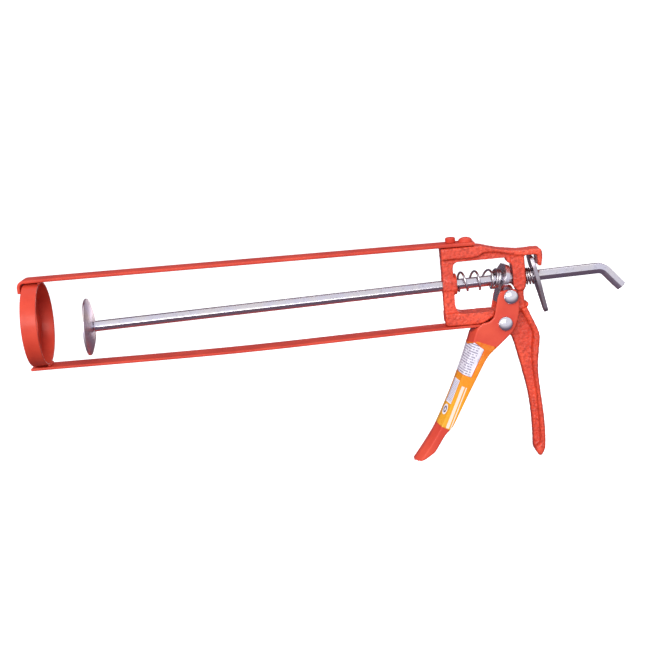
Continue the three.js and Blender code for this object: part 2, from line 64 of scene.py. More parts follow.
# Millimetres along the gun's own axes: X from the ring's rear edge towards the handle, Y away from
# the camera, Z up from the cartridge's axis.
MM = 0.001
RING_DROP = 0.35  # how far the ring's middle lies below the cartridge's axis
ring_low, ring_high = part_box("front_ring")
AXIS = Vector((ring_high.x, 0, (ring_low.z + ring_high.z) / 2 + RING_DROP * MM))
TO_ROW = Matrix.Translation(AXIS) @ Matrix.Scale(MM, 4)


# ---------- camera and lamps ----------

# The camera looks at AIM from DISTANCE millimetres away, turned by three small angles.
AIM = TO_ROW @ Vector((176.5, 0, -17.91))
DISTANCE = 827.9
LENS, SENSOR = 72, 36
NEAREST = 0.01
TURN, TILT, ROLL = (math.radians(a) for a in (0.14, 10.83, 5.23))


def camera():
    data = bpy.data.cameras.new("camera")
    data.sensor_width = SENSOR
    data.lens = LENS
    data.clip_start = NEAREST
    obj = bpy.data.objects.new("camera", data)
    SCENE.collection.objects.link(obj)
    ahead = Vector((
        -math.sin(TURN) * math.cos(TILT),
        math.cos(TURN) * math.cos(TILT),
        -math.sin(TILT),
    ))
    right = Vector((math.cos(TURN), math.sin(TURN), 0))
    up = right.cross(ahead)
    rolled = right * math.cos(ROLL) - up * math.sin(ROLL)
    rolled_up = right * math.sin(ROLL) + up * math.cos(ROLL)
    place = Matrix((rolled, rolled_up, -ahead)).transposed().to_4x4()
    place.translation = AIM - ahead * DISTANCE * MM
    obj.matrix_world = place
    SCENE.camera = obj


def area_light(name, at, size, power, tint=(1, 1, 1)):
    """A rectangular lamp, placed in metres and turned to the gun; the camera doesn't see it."""
    data = bpy.data.lights.new(name, "AREA")
    data.shape = "RECTANGLE"
    data.size, data.size_y = size
    data.energy = power
    data.color = tint
    obj = bpy.data.objects.new(name, data)
    SCENE.collection.objects.link(obj)
    obj.location = at
    obj.rotation_euler = (AIM - obj.location).to_track_quat("-Z", "Y").to_euler()
    obj.visible_camera = False


camera()


# ---------- node helpers ----------

class Tree:
    """A few short ways to add shader nodes to one node tree."""

    def __init__(self, tree):
        self.tree = tree
        tree.nodes.clear()

    def add(self, kind, inputs=None, **settings):
        node = self.tree.nodes.new("ShaderNode" + kind)
        for key, value in settings.items():
            setattr(node, key, value)
        for key, value in (inputs or {}).items():
            if isinstance(value, bpy.types.NodeSocket):
                self.tree.links.new(value, node.inputs[key])
            else:
                node.inputs[key].default_value = value
        return node

    def math(self, operation, a, b=0.0):
        return self.add("Math", {0: a, 1: b}, operation=operation).outputs[0]

    def remap(self, value, low, high, to_low=0.0, to_high=1.0):
        inputs = {0: value, 1: low, 2: high, 3: to_low, 4: to_high}
        return self.add("MapRange", inputs).outputs[0]

    def noise(self, where, scale, detail, rough=0.5):
        inputs = {"Vector": where, "Scale": scale, "Detail": detail, "Roughness": rough}
        return self.add("TexNoise", inputs).outputs["Fac"]

    def blend(self, share, a, b):
        return self.add("Mix", {0: share, 6: a, 7: b}, data_type="RGBA").outputs[2]

    def place(self, scale=(1, 1, 1)):
        coords = self.add("TexCoord").outputs["Object"]
        return self.add("Mapping", {"Vector": coords, "Scale": scale}).outputs["Vector"]

    def bump(self, height, strength, distance, normal=None):
        inputs = {"Height": height, "Strength": strength, "Distance": distance}
        if normal is not None:
            inputs["Normal"] = normal
        return self.add("Bump", inputs).outputs["Normal"]

    def surface(self, inputs):
        shader = self.add("BsdfPrincipled", inputs)
        out = self.add("OutputMaterial")
        self.tree.links.new(shader.outputs[0], out.inputs["Surface"])


def color(red, green, blue):
    return (red, green, blue, 1)


def darker(tone, share):
    return color(*(share * part for part in tone[:3]))


def new_material(name):
    made = bpy.data.materials.new(name)
    made.use_nodes = True
    return made, Tree(made.node_tree)


# How strongly the rubbed edges and the painted shade in hollow places show in the paint.
EDGE_SHARE, HOLLOW_SHADE_SHARE = 0.55, 0.5


def paint(name, light, dark, worn, skin):
    """Sprayed enamel: two tones, rubbed edges, painted shade in hollow places and the given skin."""
    made, t = new_material(name)
    where = t.place()
    patches = t.remap(t.noise(where, scale=55, detail=4), 0.35, 0.65)
    tone = t.blend(patches, dark, light)
    if "speckle" in skin:
        flecks = t.remap(t.noise(where, skin["speckle"], detail=3, rough=0.6), 0.33, 0.55)
        tone = t.blend(flecks, darker(dark, 0.7), tone)
    bend = t.add("NewGeometry").outputs["Pointiness"]
    specks = t.remap(t.noise(where, scale=700, detail=4, rough=0.65), 0.42, 0.58)
    edges = t.math("MULTIPLY", t.remap(bend, 0.53, 0.6), specks)
    tone = t.blend(t.math("MULTIPLY", edges, EDGE_SHARE), tone, worn)
    # Painted shade: concave spots, found by pointiness, are darkened towards a deep red.
    hollow_shade = t.remap(bend, 0.47, 0.40)
    tone = t.blend(t.math("MULTIPLY", hollow_shade, HOLLOW_SHADE_SHARE), tone, darker(dark, 0.35))
    gloss = t.remap(t.noise(where, scale=140, detail=5), 0.3, 0.7, skin["low"], skin["high"])
    orange_peel = t.noise(where, skin["scale"], detail=3)
    normal = t.bump(orange_peel, skin["strength"], skin["depth"])
    if "pits" in skin:
        pits = t.noise(where, skin["pits"], detail=2)
        normal = t.bump(pits, strength=0.6, distance=skin["depth"] * 1.4, normal=normal)
    t.surface({
        "Base Color": tone,
        "Roughness": gloss,
        "Specular IOR Level": skin["shine"],
        "Coat Weight": skin["coat"],
        "Coat Roughness": 0.12,
        "Normal": normal,
    })
    return made


EVEN = (1, 1, 1)
DRAWN_ALONG_X = (0.03, 1, 1)


def plated(name, cool, warm, low, high, stretch=EVEN, stained=0.45):
    """Zinc plate over steel: a faint bloom, dull stains and fine scratches.

    Low and high bound the roughness, and stretch draws the scratches out along an axis.
    """
    made, t = new_material(name)
    where = t.place()
    scratches = t.noise(t.place(stretch), scale=900, detail=4, rough=0.6)
    bloom = t.remap(t.noise(where, scale=90, detail=3), 0.35, 0.65)
    tone = t.blend(bloom, cool, warm)
    stains = t.remap(t.noise(where, scale=420, detail=5, rough=0.7), 0.56, 0.72)
    tone = t.blend(t.math("MULTIPLY", stains, stained), tone, darker(cool, 0.45))
    t.surface({
        "Base Color": tone,
        "Metallic": 1.0,
        "Roughness": t.remap(scratches, 0.3, 0.7, low, high),
        "Normal": t.bump(scratches, strength=0.25, distance=0.00006),
    })
    return made


SHEET_SKIN = {
    "low": 0.36, "high": 0.5, "scale": 650, "strength": 0.2, "depth": 0.0003, "coat": 0.06,
    "shine": 0.22,
}
CAST_SKIN = {
    "low": 0.34, "high": 0.5, "scale": 800, "strength": 0.7, "depth": 0.0006, "coat": 0.25,
    "shine": 0.4, "pits": 450, "speckle": 560,
}
TRIGGER_SKIN = {**SHEET_SKIN, "strength": 0.12, "coat": 0.3}
RED = paint(
    "red_enamel", color(0.69, 0.068, 0.034), color(0.57, 0.045, 0.024),
    worn=color(0.85, 0.20, 0.14), skin=SHEET_SKIN,
)
CAST_RED = paint(
    "cast_enamel", color(0.90, 0.090, 0.036), color(0.74, 0.058, 0.024),
    worn=color(0.95, 0.28, 0.18), skin=CAST_SKIN,
)
TRIGGER_RED = paint(
    "trigger_enamel", color(0.76, 0.085, 0.042), color(0.66, 0.055, 0.030),
    worn=color(0.9, 0.3, 0.2), skin=TRIGGER_SKIN,
)
ZINC_ROD = plated(
    "bright_zinc_bar", color(0.72, 0.70, 0.80), color(0.78, 0.74, 0.74),
    low=0.14, high=0.26, stretch=DRAWN_ALONG_X,
)
ZINC_DISC = plated(
    "spun_zinc", color(0.74, 0.69, 0.80), color(0.86, 0.77, 0.72),
    low=0.36, high=0.48, stained=0.15,
)
ZINC_PRESSED = plated(
    "pressed_zinc", color(0.70, 0.67, 0.78), color(0.80, 0.74, 0.66), low=0.2, high=0.38,
)
ZINC_DULL = plated(
    "dull_zinc", color(0.44, 0.40, 0.49), color(0.50, 0.45, 0.46), low=0.24, high=0.4,
)
ZINC_DOME = plated(
    "polished_zinc", color(0.80, 0.80, 0.88), color(0.86, 0.84, 0.84), low=0.1, high=0.2,
)
SPRING_WIRE = plated(
    "spring_wire", color(0.60, 0.57, 0.64), color(0.66, 0.62, 0.60), low=0.18, high=0.32,
)


# ---------- printed films ----------

# The films' own directions, in millimetres: U down the grip from a point near its top, V back from
# the near fold and below 0 round the front.
PRINT_AT = TO_ROW @ Vector((269, 0, -33))
PRINT_SLOPE = math.radians(65.2)
NEAR_FOLD_Y = -10.3


def print_axes(t):
    coords = t.add("TexCoord").outputs["Object"]
    local = t.add("VectorMath", {0: coords, 1: PRINT_AT}, operation="SUBTRACT").outputs[0]
    scaled = t.add("VectorMath", {0: local, "Scale": 1 / MM}, operation="SCALE").outputs[0]
    x, y, z = t.add("SeparateXYZ", {0: scaled}).outputs
    c, s = math.cos(PRINT_SLOPE), math.sin(PRINT_SLOPE)
    u = t.math("ADD", t.math("MULTIPLY", x, -c), t.math("MULTIPLY", z, -s))
    side = t.math("ADD", t.math("MULTIPLY", x, s), t.math("MULTIPLY", z, -c))
    round_front = t.math("MAXIMUM", t.math("SUBTRACT", y, NEAR_FOLD_Y), 0)
    return u, t.math("SUBTRACT", side, round_front), scaled


def inside(t, value, middle, half):
    return t.math("LESS_THAN", t.math("ABSOLUTE", t.math("SUBTRACT", value, middle)), half)


def panel(t, u, v, middle, half):
    """1 inside the rectangle about a middle, each given as (along U, along V)."""
    return t.math("MULTIPLY", inside(t, u, middle[0], half[0]), inside(t, v, middle[1], half[1]))


LABEL_TOP_U, LABEL_END_U = -2, 62
LABEL_FADE = (
    (0.0, color(0.76, 0.13, 0.012)),
    (0.35, color(0.86, 0.24, 0.008)),
    (0.75, color(0.88, 0.38, 0.008)),
    (1.0, color(0.88, 0.40, 0.03)),
)
STRIPE_U, STRIPE_HALF_U = 46, 14.5
STRIPES_V = ((5.2, 1.0), (7.4, 0.35))
PANEL_AT, PANEL_HALF, PANEL_MARGIN = (37, -4.4), (8.2, 5.2), 1.0
PANEL_ROWS_PER_MM = 1.05
BADGE_AT, BADGE_R, BADGE_RING_R, BADGE_RING_HALF = (50.0, -4.4), 3.6, 1.7, 0.6


def fill_ramp(stops, tones):
    """Gives a new colour ramp's stops the (position, colour) pairs of a rising list."""
    for stop, (position, tone) in zip(stops, (tones[0], tones[-1])):
        stop.position = position
        stop.color = tone
    for position, tone in tones[1:-1]:
        stops.new(position).color = tone


def label_film():
    """Orange film that fades to yellow, with plain stripes, a ruled panel and a ring."""
    made, t = new_material("printed_orange_film")
    u, v, where = print_axes(t)
    fade = t.add("ValToRGB", {0: t.remap(u, LABEL_TOP_U, LABEL_END_U)})
    fill_ramp(fade.color_ramp.elements, LABEL_FADE)
    clouds = t.remap(t.noise(where, scale=0.35, detail=4), 0.4, 0.6)
    tone = t.blend(t.math("MULTIPLY", clouds, 0.18), fade.outputs[0], color(0.92, 0.48, 0.06))
    for stripe_v, half_v in STRIPES_V:
        stripe = panel(t, u, v, (STRIPE_U, stripe_v), (STRIPE_HALF_U, half_v))
        tone = t.blend(t.math("MULTIPLY", stripe, 0.8), tone, color(0.93, 0.88, 0.78))
    pale = panel(t, u, v, PANEL_AT, PANEL_HALF)
    tone = t.blend(pale, tone, color(0.84, 0.82, 0.90))
    ruled = panel(t, u, v, PANEL_AT, [half - PANEL_MARGIN for half in PANEL_HALF])
    rows = t.math("LESS_THAN", t.math("FRACT", t.math("MULTIPLY", u, PANEL_ROWS_PER_MM)), 0.55)
    tone = t.blend(t.math("MULTIPLY", ruled, rows), tone, color(0.52, 0.49, 0.60))
    du = t.math("SUBTRACT", u, BADGE_AT[0])
    dv = t.math("SUBTRACT", v, BADGE_AT[1])
    squares = t.math("ADD", t.math("MULTIPLY", du, du), t.math("MULTIPLY", dv, dv))
    reach = t.math("SQRT", squares)
    tone = t.blend(t.math("LESS_THAN", reach, BADGE_R), tone, color(0.88, 0.85, 0.90))
    tone = t.blend(inside(t, reach, BADGE_RING_R, BADGE_RING_HALF), tone, color(0.16, 0.12, 0.18))
    t.surface({
        "Base Color": tone,
        "Roughness": t.remap(t.noise(where, scale=0.5, detail=3), 0.3, 0.7, 0.2, 0.34),
        "Specular IOR Level": 0.25,
        "Coat Weight": 0.08,
        "Coat Roughness": 0.1,
        "Normal": t.bump(t.noise(where, scale=0.6, detail=4), strength=0.12, distance=0.0002),
    })
    return made


INK_ROWS_PER_MM, INK_CELLS_PER_MM = 0.62, 0.55
INKED_AT, INKED_HALF = (13.6, -2.0), (10.8, 8.2)


def sticker_paper():
    """White paper with rows of short grey bars."""
    made, t = new_material("printed_white_paper")
    u, v, where = print_axes(t)
    row = t.math("MULTIPLY", u, INK_ROWS_PER_MM)
    line = t.math("LESS_THAN", t.math("FRACT", row), 0.46)
    along = t.math("MULTIPLY", v, INK_CELLS_PER_MM)
    cell = t.add("CombineXYZ", {0: t.math("FLOOR", row), 1: along, 2: 0.0}).outputs[0]
    bars = t.math("GREATER_THAN", t.noise(cell, scale=1.7, detail=1), 0.44)
    # The paper stays clear along its back edge and on the far side.
    inked = panel(t, u, v, INKED_AT, INKED_HALF)
    ink = t.math("MULTIPLY", t.math("MULTIPLY", line, bars), inked)
    clouds = t.remap(t.noise(where, scale=0.8, detail=4), 0.3, 0.7)
    paper = t.blend(clouds, color(0.80, 0.77, 0.86), color(0.86, 0.83, 0.89))
    t.surface({
        "Base Color": t.blend(t.math("MULTIPLY", ink, 0.8), paper, color(0.20, 0.17, 0.28)),
        "Roughness": 0.5,
        "Normal": t.bump(t.noise(where, scale=2.2, detail=4), strength=0.15, distance=0.00015),
    })
    return made


LABEL = label_film()
PAPER = sticker_paper()


# ---------- mesh helpers ----------

def smooth_object(name, bm, material):
    """The bmesh as an object of the scene, smooth all over."""
    mesh = bpy.data.meshes.new(name)
    bm.to_mesh(mesh)
    bm.free()
    for face in mesh.polygons:
        face.use_smooth = True
    mesh.materials.append(material)
    obj = bpy.data.objects.new(name, mesh)
    SCENE.collection.objects.link(obj)
    return obj


def settle(name, bm, body, material, nodes=(), angle=35, in_mm=True):
    """Turns a bmesh into a finished piece that rides on a body and stands for CAD nodes.

    Edges sharper than the angle, in degrees, stay hard. A bmesh taken from a CAD node is in the
    frame already, and not in_mm.
    """
    if in_mm:
        bmesh.ops.transform(bm, matrix=TO_ROW, verts=bm.verts)
    bmesh.ops.recalc_face_normals(bm, faces=bm.faces)
    obj = smooth_object(name, bm, material)
    obj.data.set_sharp_from_angle(angle=math.radians(angle))
    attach(obj, body)
    if nodes:
        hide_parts(*nodes)
    return obj


ON_AXIS, TOO_SHORT = 1e-6, 1e-4  # millimetres


def lathe(bm, profile, place=Matrix.Identity(4), segments=96):
    """Turns [radius, along] points about the local X axis.

    Points on the axis close the surface, and so does a profile that ends where it starts.
    """
    rings = []
    for radius, along in profile:
        if radius < ON_AXIS:
            rings.append([bm.verts.new(place @ Vector((along, 0, 0)))])
            continue
        ring = []
        for i in range(segments):
            a = 2 * math.pi * i / segments
            spot = Vector((along, radius * math.cos(a), radius * math.sin(a)))
            ring.append(bm.verts.new(place @ spot))
        rings.append(ring)
    if profile[0] == profile[-1]:
        bmesh.ops.delete(bm, geom=rings.pop(), context="VERTS")
        rings.append(rings[0])
    for a, b in zip(rings, rings[1:]):
        for i in range(segments):
            j = (i + 1) % segments
            corners = [a[i % len(a)], a[j % len(a)], b[j % len(b)], b[i % len(b)]]
            bm.faces.new(list(dict.fromkeys(corners)))


def swung(before, corner, after, reaches, steps):
    """Points of a curve round a corner that starts and ends at the two given distances from it."""
    start = corner + (before - corner).normalized() * reaches[0]
    end = corner + (after - corner).normalized() * reaches[1]
    spots = []
    for i in range(steps + 1):
        s = i / steps  # the share of the way from start to end
        spots.append(start * (1 - s) ** 2 + corner * 2 * s * (1 - s) + end * s * s)
    return spots


# A corner's rounding takes at most this share of the side next to it.
SIDE_SHARE = 0.45


def softened(profile, radius, steps=3):
    """The same profile with each corner rounded, apart from corners on the axis and the two ends."""
    out = [profile[0]]
    for before, corner, after in zip(profile, profile[1:], profile[2:]):
        b, c, a = Vector(before), Vector(corner), Vector(after)
        reach = min(radius, (b - c).length * SIDE_SHARE, (a - c).length * SIDE_SHARE)
        if c.x < ON_AXIS or reach < TOO_SHORT:
            out.append(corner)
            continue
        out += [tuple(spot) for spot in swung(b, c, a, (reach, reach), steps)]
    out.append(profile[-1])
    return out


def rounded_line(corners, steps=10):
    """A polyline through [x, z, radius] corners, swung round each one."""
    out = [Vector(corners[0][:2])]
    for before, corner, after in zip(corners, corners[1:], corners[2:]):
        b, c, a = (Vector(spot[:2]) for spot in (before, corner, after))
        reaches = [min(corner[2], (way - c).length * SIDE_SHARE) for way in (b, a)]
        out += swung(b, c, a, reaches, steps)
    out.append(Vector(corners[-1][:2]))
    return out


def rounded_box(width, height, radius, steps=4):
    """A closed section [across, up] of a bar with rounded corners."""
    out = []
    spots = ((1, 1, 0), (-1, 1, 90), (-1, -1, 180), (1, -1, 270))
    for sx, sz, start in spots:
        middle = (sx * (width / 2 - radius), sz * (height / 2 - radius))
        for i in range(steps + 1):
            a = math.radians(start + 90 * i / steps)
            out.append((middle[0] + radius * math.cos(a), middle[1] + radius * math.sin(a)))
    return out


def sweep(bm, stations):
    """Joins closed sections of equal length, each a list of points, and caps both ends."""
    rings = [[bm.verts.new(p) for p in station] for station in stations]
    count = len(rings[0])
    for a, b in zip(rings, rings[1:]):
        for i in range(count):
            j = (i + 1) % count
            bm.faces.new((a[i], a[j], b[j], b[i]))
    bm.faces.new(rings[0][::-1])
    bm.faces.new(rings[-1])


def ribbon(bm, line, section, end=0.4):
    """Sweeps an [across, up] section along an XZ line, drawing it in a little at both ends."""
    stations = []
    last = len(line) - 1
    directions = [
        (line[min(i + 1, last)] - line[max(i - 1, 0)]).normalized()
        for i in range(len(line))
    ]

    def station(spot, way, shrink):
        up = Vector((-way.y, way.x))
        points = []
        for across, height in section:
            reach_y = math.copysign(max(abs(across) - shrink, 0), across)
            reach_z = math.copysign(max(abs(height) - shrink, 0), height)
            points.append((spot.x + up.x * reach_z, reach_y, spot.y + up.y * reach_z))
        return points

    rounding = ((0, end), (end * 0.3, end * 0.3), (end, 0))
    for along, shrink in rounding:
        stations.append(station(line[0] + directions[0] * along, directions[0], shrink))
    for spot, way in list(zip(line, directions))[1:-1]:
        stations.append(station(spot, way, 0))
    for along, shrink in rounding[::-1]:
        stations.append(station(line[-1] - directions[-1] * along, directions[-1], shrink))
    sweep(bm, stations)


def applied(obj, *modifiers):
    """The object's mesh with modifiers given as (type, settings) made real."""
    for kind, settings in modifiers:
        modifier = obj.modifiers.new(kind.lower(), kind)
        for key, value in settings.items():
            setattr(modifier, key, value)
    bpy.context.view_layer.update()
    graph = bpy.context.evaluated_depsgraph_get()
    mesh = bpy.data.meshes.new_from_object(obj.evaluated_get(graph))
    obj.modifiers.clear()
    return mesh


def melted(node, voxel, rounds, grain=None):
    """A CAD node's solid as one fine skin with rounded edges, roughened by a grain function."""
    rough = bpy.data.objects.new("rough", frame["nodes"][node].data.copy())
    SCENE.collection.objects.link(rough)
    mesh = applied(
        rough,
        ("REMESH", {"mode": "VOXEL", "voxel_size": voxel * MM}),
        ("SMOOTH", {"factor": 0.5, "iterations": rounds}),
    )
    bpy.data.objects.remove(rough)
    if grain:
        count = len(mesh.vertices)
        spots = np.empty(count * 3)
        normals = np.empty(count * 3)
        mesh.vertices.foreach_get("co", spots)
        mesh.vertices.foreach_get("normal", normals)
        spots = spots.reshape(-1, 3)
        lift = np.array([grain(Vector(p) / MM) for p in spots]) * MM
        spots += normals.reshape(-1, 3) * lift[:, None]
        mesh.vertices.foreach_set("co", spots.ravel())
    bm = bmesh.new()
    bm.from_mesh(mesh)
    bpy.data.meshes.remove(mesh)
    return bm


# ---------- ring and straps ----------

RING_R, RING_WALL, RING_DEPTH, LIP_R = 26.8, 1.4, 10.0, 16.5
RING_AT = Matrix.Translation((0, 0, -RING_DROP))


def front_ring():
    bm = bmesh.new()
    inner = RING_R - RING_WALL
    seam = (inner, -4)
    profile = [
        seam,
        (inner, 0),
        (RING_R, 0),
        (RING_R, -RING_DEPTH),
        (LIP_R, -RING_DEPTH),
        (LIP_R, -RING_DEPTH + RING_WALL),
        (inner, -RING_DEPTH + RING_WALL),
        seam,
    ]
    lathe(bm, softened(profile, radius=0.55, steps=4), RING_AT, segments=160)
    settle("ring_band", bm, "frame", RED, ["front_ring"], angle=50)


STRAP_WIDTH, STRAP_THICK, LOW_STRAP_THICK = 16, 2, 1.7
STRAP_END_X = 274.5
TOP_Z, TOP_FALL = 27.9, 0.0062
CURL_AT, CURL_R, CURL_TIP_Z = Vector((-9, 24.5)), 3.4, 20.7
LOW_FRONT_Z, LOW_BOW_Z, LOW_END_Z = -27.45, -27.95, -25.2


def top_z(x):
    """The top strap's centreline height."""
    return TOP_Z - TOP_FALL * x


def top_strap():
    bm = bmesh.new()
    front_x = CURL_AT.x - CURL_R
    line = [Vector((front_x, CURL_TIP_Z)), Vector((front_x, CURL_AT.y - 2))]
    for a in np.radians(np.linspace(180, 90, 13)):
        line.append(CURL_AT + CURL_R * Vector((math.cos(a), math.sin(a))))
    line += [Vector((x, top_z(x))) for x in np.linspace(2, STRAP_END_X, 60)]
    ribbon(bm, line, rounded_box(STRAP_WIDTH, STRAP_THICK, radius=0.55))
    settle("top_strap_bar", bm, "frame", RED, ["top_strap"])


def bottom_strap():
    """Flat, bowed down a little in the middle; the corners follow its upper face."""
    bm = bmesh.new()
    corners = [
        (-RING_DEPTH - 1.4, LOW_FRONT_Z, 0),
        (4, LOW_FRONT_Z, 30),
        (70, LOW_BOW_Z, 40),
        (130, LOW_BOW_Z, 40),
        (245, LOW_END_Z, 30),
        (STRAP_END_X, LOW_END_Z, 0),
    ]
    line = [spot - Vector((0, LOW_STRAP_THICK / 2)) for spot in rounded_line(corners)]
    ribbon(bm, line, rounded_box(STRAP_WIDTH, LOW_STRAP_THICK, radius=0.5))
    settle("bottom_strap_bar", bm, "frame", RED, ["bottom_strap"])


WELD_HALF, WELD_R, WELD_X = 6.2, 1.15, 0.1


def weld(name, z, side):
    """A short rippled bead in the corner between the ring's rear edge and a strap."""
    bm = bmesh.new()
    stations = []
    for y in np.linspace(-WELD_HALF, WELD_HALF, 41):
        swell = math.sqrt(max(1 - (y / (WELD_HALF + 0.4)) ** 4, 0.02))
        ripple = 1 + 0.12 * math.sin(y * 4.1) + 0.08 * noise.noise((y, WELD_X, z))
        r = WELD_R * swell * ripple
        curve = side * (math.sqrt(RING_R ** 2 - y * y) - RING_R)
        centre = Vector((WELD_X, y, z + curve * 0.35))
        stations.append([
            centre + Vector((r * math.cos(a), 0, r * 0.8 * math.sin(a)))
            for a in np.linspace(0, 2 * math.pi, 14, endpoint=False)
        ])
    sweep(bm, stations)
    settle(name, bm, "frame", RED, angle=60)


front_ring()
top_strap()
bottom_strap()
weld("top_weld", 26.2, side=1)
weld("bottom_weld", -26.9, side=-1)


# ---------- casting and its rivets ----------

# The sand-cast skin's unevenness from coarse to fine: (height in millimetres, pitch per millimetre).
GRAINS = ((0.1, 0.16), (0.16, 0.6), (0.1, 1.3))


def cast_grain(p):
    return sum(height * noise.noise(p * pitch) for height, pitch in GRAINS)


settle(
    "cast_body", melted("body_casting", voxel=0.5, rounds=5, grain=cast_grain),
    "frame", CAST_RED, ["body_casting"], angle=75, in_mm=False,
)


def upright(x):
    """Turns a lathe's axis upright at X."""
    return Matrix.Translation((x, 0, 0)) @ Matrix.Rotation(-math.pi / 2, 4, "Y")


STUD_X, DOME_X = 259.8, 269.2
SHANK_R, SHANK_FOOT_Z = 2, 20
STUD_R, STUD_H = 3.2, 3.6
DOME_R, DOME_EDGE_H, DOME_H = 4.4, 0.7, 3
SUNK_R, SUNK_REACH = 3.55, 6.4
LOW_FACE_Z = LOW_END_Z - LOW_STRAP_THICK


def seat_z(x):
    """The height at which a head sits on the top strap."""
    return top_z(x) + STRAP_THICK / 2 + 0.05


def upper_rivet(name, x, head, node, rounding=0.0):
    """A rivet through the top strap; its head's outline is given above the seat."""
    seat = seat_z(x)
    outline = [(0, SHANK_FOOT_Z), (SHANK_R, SHANK_FOOT_Z), (SHANK_R, seat)]
    outline += [(r, seat + up) for r, up in head]
    bm = bmesh.new()
    lathe(bm, softened(outline, rounding, steps=4), upright(x), segments=48)
    settle(name, bm, "frame", RED, [node], angle=60)


def lower_rivet(name, x, node):
    """A countersunk rivet in the bottom strap; its head lies in the strap's lower face."""
    outline = [
        (0, -0.25),
        (2.6, -0.2),
        (SUNK_R - 0.05, 0.1),
        (SUNK_R, 0.5),
        (SHANK_R, LOW_STRAP_THICK),
        (SHANK_R, SUNK_REACH),
        (0, SUNK_REACH),
    ]
    bm = bmesh.new()
    sunk = [(r, LOW_FACE_Z + up) for r, up in outline]
    lathe(bm, softened(sunk, radius=0.3), upright(x), segments=48)
    settle(name, bm, "frame", RED, [node], angle=60)


FLAT_HEAD = [(STUD_R, 0), (STUD_R, STUD_H - 0.6), (STUD_R - 0.7, STUD_H - 0.1), (0, STUD_H)]
DOMED_HEAD = [
    (DOME_R, 0),
    *[
        (DOME_R * math.cos(a), DOME_EDGE_H + (DOME_H - DOME_EDGE_H) * math.sin(a))
        for a in np.radians(np.arange(0, 90, 9))
    ],
    (0, DOME_H),
]
upper_rivet("strap_stud", STUD_X, FLAT_HEAD, "top_strap_stud", rounding=0.5)
upper_rivet("strap_dome_rivet", DOME_X, DOMED_HEAD, "top_strap_rivet")
lower_rivet("low_rivet_front", STUD_X, "bottom_strap_rivet_front")
lower_rivet("low_rivet_rear", DOME_X, "bottom_strap_rivet_rear")


# ---------- push rod and plunger ----------

# The disc's place, and the slope at which the rod hangs down towards it.
DISC_AT = (26, 0, -5.3)
DROOP = math.atan(0.0247)
ROD_PLACE = Matrix.Translation(DISC_AT) @ Matrix.Rotation(-DROOP, 4, "Y")
ROD_ACROSS_FLATS = 6.35
ROD_START_X, BEND_START_X = 4.5, 325.5
BEND_R, BEND, TAIL = 7.0, math.radians(50), 14.0
PEEN_X, PEEN_R, NECK_R = 1.4, 3.4, 2


def hexagon(edge=0.35):
    """The rod's section [across, up] with its six corners slightly rounded."""
    corner_r = ROD_ACROSS_FLATS / math.sqrt(3)
    corners = [
        Vector((corner_r * math.cos(a), corner_r * math.sin(a)))
        for a in (math.radians(60 * i) for i in range(6))
    ]
    out = []
    for i, corner in enumerate(corners):
        out += swung(corners[i - 1], corner, corners[(i + 1) % 6], (edge, edge), steps=3)
    return out


def push_rod():
    """The bar with its bent tail, and at its front the stud that is peened over the disc."""
    bm = bmesh.new()
    line = [Vector((x, 0)) for x in np.linspace(ROD_START_X, BEND_START_X, 40)]
    for a in np.linspace(0, BEND, 25)[1:]:
        line.append(Vector((BEND_START_X + BEND_R * math.sin(a), BEND_R * (math.cos(a) - 1))))
    away = Vector((math.cos(BEND), -math.sin(BEND)))
    line += [line[-1] + away * step for step in (TAIL / 2, TAIL)]
    ribbon(bm, line, hexagon(), end=0.5)
    inside_rod_x = ROD_START_X + 2
    stud = [
        (0, PEEN_X - 1.7),
        (PEEN_R - 1, PEEN_X - 1.4),
        (PEEN_R, PEEN_X - 0.6),
        (PEEN_R, PEEN_X),
        (NECK_R, PEEN_X),
        (NECK_R, inside_rod_x),
        (0, inside_rod_x),
    ]
    lathe(bm, softened(stud, radius=0.35, steps=4), segments=48)
    bmesh.ops.transform(bm, matrix=ROD_PLACE, verts=bm.verts)
    settle("hexagon_rod", bm, "push_rod", ZINC_ROD, ["push_rod"], angle=25)


BORE_R, FLAT_R, RIM_R = 2.3, 6.0, 18.1
DISH, DISC_THICK, DISC_LEAN = 3.0, 1.2, math.radians(2)
WASHER_R, WASHER_THICK, WASHER_X = 5.5, 1.0, 1.7


def dish_depth(r):
    """How far back the disc's front face lies: most at the flat middle, nothing at the rim."""
    return DISH * math.cos(math.pi / 2 * max(0, (r - FLAT_R) / (RIM_R - FLAT_R)))


def plunger_disc():
    radii = [float(r) for r in np.linspace(BORE_R, RIM_R - 0.15, 44)]
    front = [(r, dish_depth(r)) for r in radii]
    back = [(r, dish_depth(r) + DISC_THICK) for r in radii[::-1]]
    edge = [(RIM_R, 0.25), (RIM_R, DISC_THICK - 0.25)]
    bm = bmesh.new()
    lean = ROD_PLACE @ Matrix.Rotation(DISC_LEAN, 4, "Y")
    lathe(bm, [*front, *edge, *back, front[0]], lean, segments=128)
    settle("dished_plunger", bm, "plunger", ZINC_DISC, ["plunger_disc"], angle=40)


def backing_washer():
    seam = (BORE_R, WASHER_X + WASHER_THICK / 2)
    washer = [
        seam,
        (BORE_R, WASHER_X),
        (WASHER_R, WASHER_X),
        (WASHER_R, WASHER_X + WASHER_THICK),
        (BORE_R, WASHER_X + WASHER_THICK),
        seam,
    ]
    bm = bmesh.new()
    lathe(bm, softened(washer, radius=0.25), ROD_PLACE, segments=72)
    settle(
        "plunger_backing_washer", bm, "plunger", ZINC_PRESSED, ["plunger_washer"],
        angle=40,
    )


push_rod()
plunger_disc()
backing_washer()


# ---------- gripping plates ----------

for piece, node, zinc in (
    ("grip_plate_drive", "drive_plate", ZINC_PRESSED),
    ("grip_plate_release", "release_plate", ZINC_DULL),
):
    plate = melted(node, voxel=0.22, rounds=3)
    settle(piece, plate, node, zinc, [node], angle=75, in_mm=False)


# ---------- springs ----------

